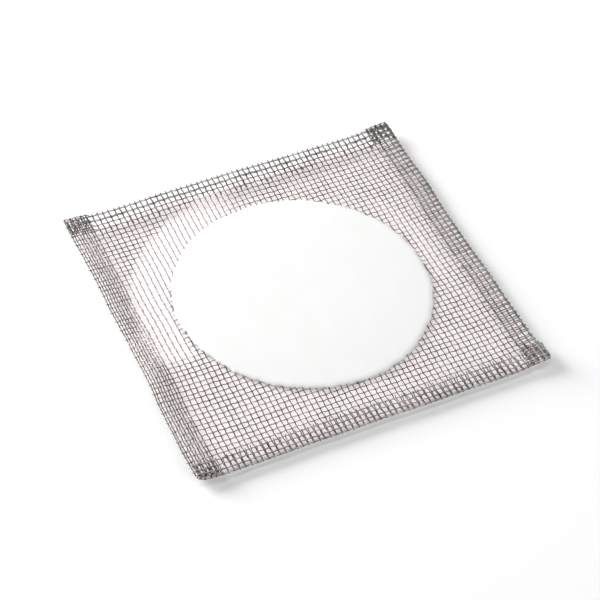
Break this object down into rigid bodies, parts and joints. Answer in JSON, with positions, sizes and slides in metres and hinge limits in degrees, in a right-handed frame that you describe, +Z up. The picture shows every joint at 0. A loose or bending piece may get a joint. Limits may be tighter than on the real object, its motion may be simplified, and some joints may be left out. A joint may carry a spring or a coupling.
{
  "type": "wire gauze",
  "caption": "Square laboratory wire gauze: woven steel wire cloth with folded hems and lifted edges, and a round white ceramic centre pressed through the mesh.",
  "frame": {"origin": "on the bench, under the middle of the ceramic centre", "axes": "+Z up from the bench, +Y towards the edge that curls up most, X along the other two edges' spacing"},
  "size_m": [0.125, 0.125, 0.0061],
  "materials": {
    "steel_wire": "dull drawn wire",
    "ceramic": "matt, smooth"
  },
  "bodies": {
    "root": {"wire_cloth": "steel_wire", "ceramic_disc": "ceramic"}
  },
  "joints": []
}
